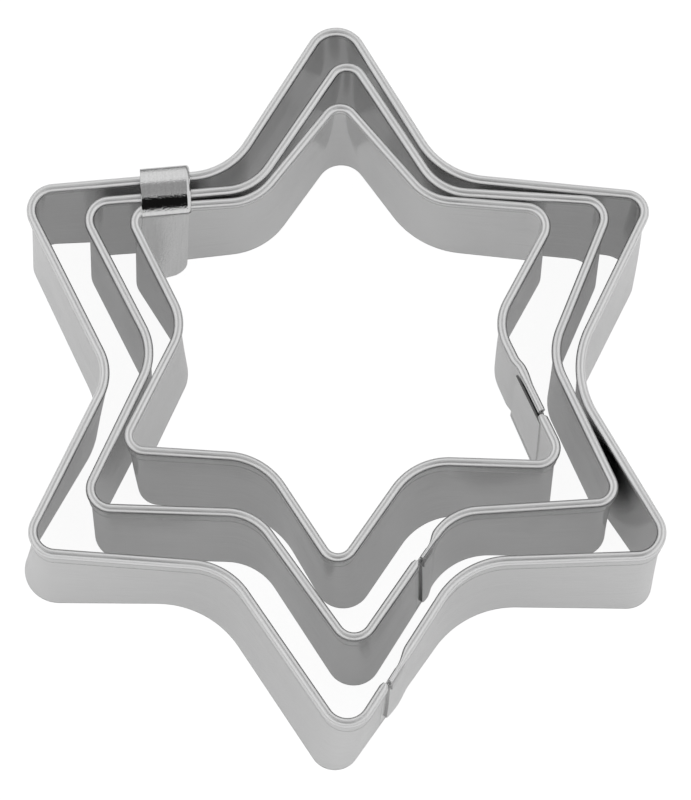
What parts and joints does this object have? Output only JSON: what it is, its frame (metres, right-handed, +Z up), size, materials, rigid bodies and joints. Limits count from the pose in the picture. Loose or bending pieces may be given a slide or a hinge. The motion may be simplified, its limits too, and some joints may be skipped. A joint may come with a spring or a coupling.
{
  "type": "nested star cookie cutter set",
  "caption": "Nested six-pointed star cookie cutters of folded-rim sheet steel, held together by a bent clip over their rims.",
  "frame": {"origin": "on the plane of the cutting edges, in the middle of the largest star's overall length and width", "axes": "+Z up from the cutting edges to the beads, +Y towards the tips that are pushed together, -Y towards the front tips, +X right"},
  "size_m": [0.079, 0.0914, 0.0207],
  "materials": {
    "cutter_steel": "bright rolled sheet, satin walls and a shiny bead",
    "clip_steel": "bright rolled sheet"
  },
  "bodies": {
    "outer": {"outer_cutter": "cutter_steel"},
    "middle": {"middle_cutter": "cutter_steel"},
    "inner": {"inner_cutter": "cutter_steel"},
    "holder": {"clip": "clip_steel"}
  },
  "joints": [
    {"name": "middle_lift", "type": "slide", "parent": "outer", "child": "middle", "axis": [0, 0, 1], "range_m": [0, 0.022]},
    {"name": "inner_lift", "type": "slide", "parent": "middle", "child": "inner", "axis": [0, 0, 1], "range_m": [0, 0.022]},
    {"name": "clip_lift", "type": "slide", "parent": "inner", "child": "holder", "axis": [0, 0, 1], "range_m": [0, 0.018]}
  ]
}
